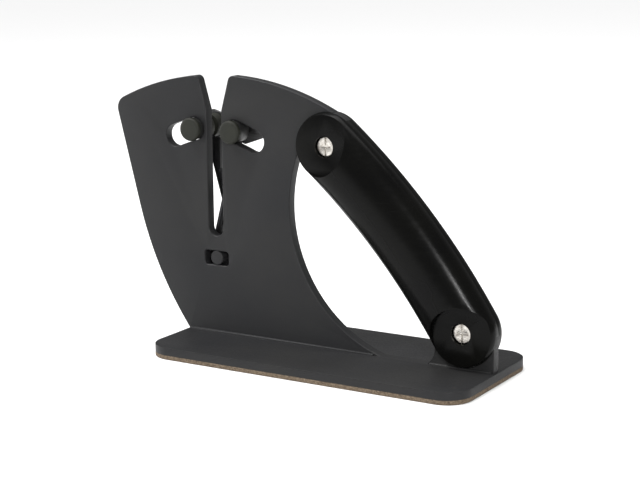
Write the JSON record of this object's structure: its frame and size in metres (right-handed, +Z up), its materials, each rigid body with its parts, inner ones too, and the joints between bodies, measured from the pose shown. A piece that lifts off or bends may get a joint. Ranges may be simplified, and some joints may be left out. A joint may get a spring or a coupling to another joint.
{
  "type": "bench-top edge sharpener",
  "caption": "Free-standing hand sharpener: an upright plate on a flat base, a V mouth with two sprung crossing arms and a curved grip.",
  "frame": {"origin": "on the surface it stands on, under the middle of its overall box", "axes": "+X along the base from the V mouth to the grip's foot, -Y the front face with the knobs, +Z up"},
  "size_m": [0.2137, 0.078, 0.1359],
  "materials": {
    "plate_enamel": "dark grey satin coat on steel",
    "cork": "brown pressed cork",
    "grip_plastic": "glossy black",
    "nickel_steel": "bright nickel plate",
    "black_steel": "black oxide",
    "spring_steel": "bright spring wire",
    "bronze": "oiled bronze",
    "carbide": "fine ground",
    "roller_plastic": "black nylon",
    "knob_plastic": "dark olive grey matt",
    "tab_steel": "grey satin"
  },
  "bodies": {
    "stand": {"frame": "plate_enamel", "base_pad": "cork", "grip_front": "grip_plastic", "grip_rear": "grip_plastic", "grip_screws": "nickel_steel", "barrel_nuts": "nickel_steel", "pivot_bracket": "black_steel", "bracket_screws": "black_steel", "window_post": "plate_enamel", "right_pivot_pin": "black_steel", "right_pivot_spacers": "black_steel", "right_return_spring": "spring_steel", "left_pivot_pin": "black_steel", "left_pivot_spacers": "black_steel", "left_return_spring": "spring_steel"},
    "right_lever": {"right_arm": "black_steel", "right_pivot_bush": "bronze", "right_sharpening_bar": "carbide", "right_track_roller": "roller_plastic", "right_knob": "knob_plastic", "right_finger_tab": "tab_steel", "right_rear_cap": "knob_plastic", "right_knob_screw": "nickel_steel"},
    "left_lever": {"left_arm": "black_steel", "left_pivot_bush": "bronze", "left_sharpening_bar": "carbide", "left_track_roller": "roller_plastic", "left_knob": "knob_plastic", "left_finger_tab": "tab_steel", "left_rear_cap": "knob_plastic", "left_knob_screw": "nickel_steel", "left_collar": "knob_plastic"}
  },
  "joints": [
    {"name": "right_lever_swing", "type": "hinge", "parent": "stand", "child": "right_lever", "pos_m": [-0.06, 0, 0.02], "axis": [0, 1, 0], "range_deg": [0, 7.8], "stiffness_Nm_per_rad": 0.5, "springref_deg": -11.46, "deforming": ["right_return_spring"]},
    {"name": "left_lever_swing", "type": "hinge", "parent": "stand", "child": "left_lever", "pos_m": [-0.035, 0, 0.02], "axis": [0, -1, 0], "range_deg": [0, 7.8], "stiffness_Nm_per_rad": 0.5, "springref_deg": -11.46, "deforming": ["left_return_spring"]}
  ]
}
